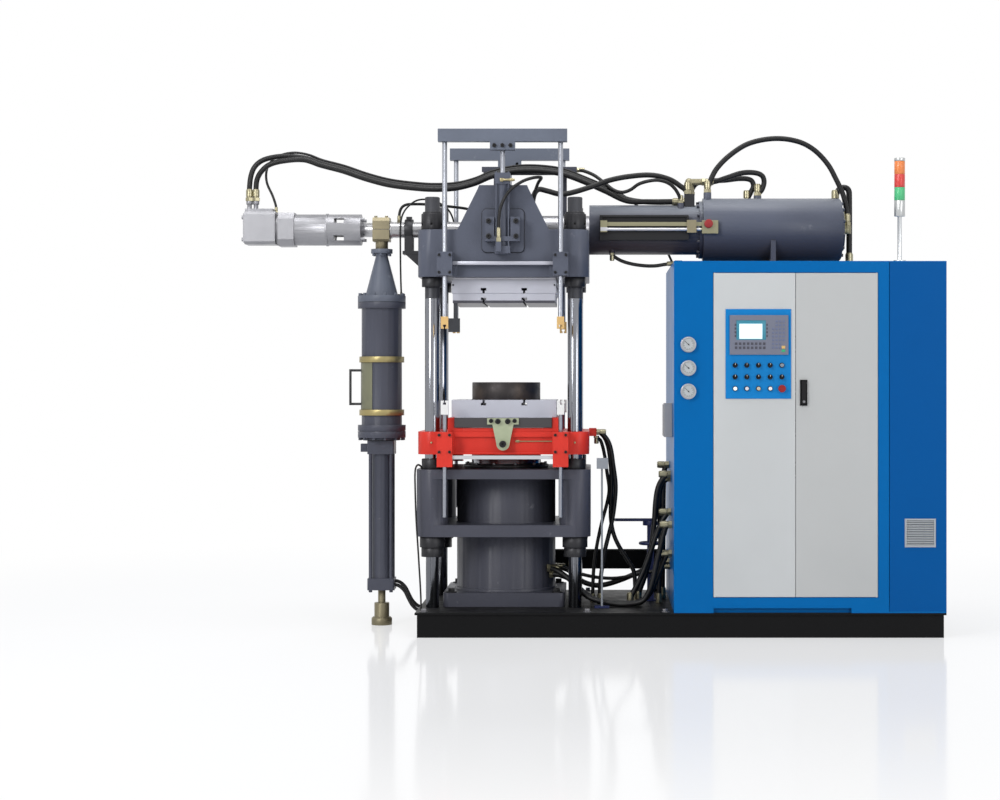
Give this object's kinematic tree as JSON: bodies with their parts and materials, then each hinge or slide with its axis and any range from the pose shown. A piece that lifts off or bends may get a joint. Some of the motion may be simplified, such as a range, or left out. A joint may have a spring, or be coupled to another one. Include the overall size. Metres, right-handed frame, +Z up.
{
  "type": "rubber injection moulding press",
  "caption": "Horizontal-injection rubber moulding press with a column clamp, sliding heated platen, side stuffer and blue control cabinet.",
  "frame": {"origin": "on the floor under the axis of the clamp", "axes": "+X from the clamp towards the control cabinet, +Y from the operator's side to the back, +Z up"},
  "size_m": [3.872, 1.329, 2.7648],
  "materials": {
    "black_paint": "satin black paint",
    "grey_paint": "dark blue-grey machine paint",
    "dark_grey_paint": "darker grey machine paint",
    "red_paint": "red machine paint",
    "blue_paint": "bright blue sheet paint",
    "deep_blue_paint": "deeper blue sheet paint",
    "light_paint": "light grey door paint",
    "panel_blue": "light blue panel paint",
    "chrome": "hard chrome, polished",
    "steel": "ground steel",
    "black_steel": "blackened steel",
    "aluminium": "cast aluminium, satin",
    "brass": "yellow passivated steel and brass",
    "rubber": "black hose rubber",
    "mould_steel": "heat-browned mould steel",
    "lamp": "coloured lamp lenses",
    "black_plastic": "black moulded plastic",
    "red_plastic": "red stop button",
    "navy_paint": "navy paint"
  },
  "bodies": {
    "root": {"base_frame": "black_paint", "main_cylinder": "grey_paint", "lower_bed": "grey_paint", "ram_gland": "black_steel", "tie_columns": "chrome", "column_nuts": "black_steel", "upper_head": "grey_paint", "upper_heat_platen": "steel", "upper_mould_plate": "steel", "head_guide_blocks": "grey_paint", "lift_cylinders": "grey_paint", "hose_shelf": "dark_grey_paint", "extruder_motor": "aluminium", "extruder_gearbox": "aluminium", "extruder_barrel": "steel", "feed_block": "brass", "barrel_clamp": "black_steel", "stuffer_cone": "dark_grey_paint", "stuffer_barrel": "dark_grey_paint", "stuffer_bands": "brass", "stuffer_cylinder": "dark_grey_paint", "stuffer_foot": "brass", "injection_cylinder": "dark_grey_paint", "drive_housing": "grey_paint", "housing_saddle": "dark_grey_paint", "scale_cover": "black_plastic", "scale_rail": "brass", "valve_block": "black_steel", "cabinet_shell": "blue_paint", "service_panel": "deep_blue_paint", "pressure_gauges": "steel", "junction_box": "light_paint", "beacon_stem": "aluminium", "beacon_lenses": "lamp", "cable_trough": "black_paint", "service_stand": "navy_paint", "oil_tank": "dark_grey_paint", "electrical_plate": "light_paint", "motor_hoses": "rubber", "line_hoses": "rubber", "bed_hoses": "rubber"},
    "screw": {"screw_shaft": "steel"},
    "ram": {"stuffer_ram": "chrome"},
    "shutter": {"stuffer_shutter": "brass"},
    "platen": {"moving_beam": "red_paint", "main_ram": "chrome", "slide_rails": "red_paint"},
    "carriage": {"lower_heat_platen": "steel", "pull_bracket": "brass", "mould_block": "mould_steel"},
    "reader": {"scale_carriage": "brass"},
    "lift": {"lift_crossbars": "grey_paint", "lift_rods": "chrome"},
    "lower_lift": {"lower_lift_rods": "chrome"},
    "door_left": {"left_door": "light_paint", "control_panel": "panel_blue", "selector_knobs": "black_plastic"},
    "door_right": {"right_door": "light_paint"},
    "handle": {"door_handle": "black_plastic"},
    "stop": {"stop_button": "red_plastic"}
  },
  "joints": [
    {"name": "screw_spin", "type": "hinge", "parent": "root", "child": "screw", "pos_m": [-0.8, 0, 2.233], "axis": [1, 0, 0], "continuous": true},
    {"name": "stuffer_feed", "type": "slide", "parent": "root", "child": "ram", "axis": [0, 0, 1], "range_m": [0, 0.58]},
    {"name": "shutter_turn", "type": "hinge", "parent": "root", "child": "shutter", "pos_m": [-0.705, 0, 1.333], "axis": [0, 0, 1], "range_deg": [0, 115]},
    {"name": "clamp_slide", "type": "slide", "parent": "root", "child": "platen", "axis": [0, 0, 1], "range_m": [0, 0.34]},
    {"name": "mould_slide", "type": "slide", "parent": "platen", "child": "carriage", "axis": [0, -1, 0], "range_m": [0, 0.45]},
    {"name": "lower_latch_lift", "type": "slide", "parent": "platen", "child": "lower_lift", "axis": [0, 0, 1], "range_m": [0, 0.045]},
    {"name": "upper_latch_lift", "type": "slide", "parent": "root", "child": "lift", "axis": [0, 0, 1], "range_m": [0, 0.1]},
    {"name": "plunger_travel", "type": "slide", "parent": "root", "child": "reader", "axis": [-1, 0, 0], "range_m": [0, 0.38]},
    {"name": "left_door_swing", "type": "hinge", "parent": "root", "child": "door_left", "pos_m": [1.143, -0.644, 1.087], "axis": [0, 0, -1], "range_deg": [0, 110]},
    {"name": "right_door_swing", "type": "hinge", "parent": "root", "child": "door_right", "pos_m": [2.01, -0.644, 1.087], "axis": [0, 0, 1], "range_deg": [0, 110]},
    {"name": "handle_turn", "type": "hinge", "parent": "door_right", "child": "handle", "pos_m": [1.619, -0.655, 1.359], "axis": [0, -1, 0], "range_deg": [0, 90]},
    {"name": "stop_push", "type": "slide", "parent": "door_left", "child": "stop", "axis": [0, 1, 0], "range_m": [0, 0.004], "stiffness_N_per_m": 900}
  ]
}
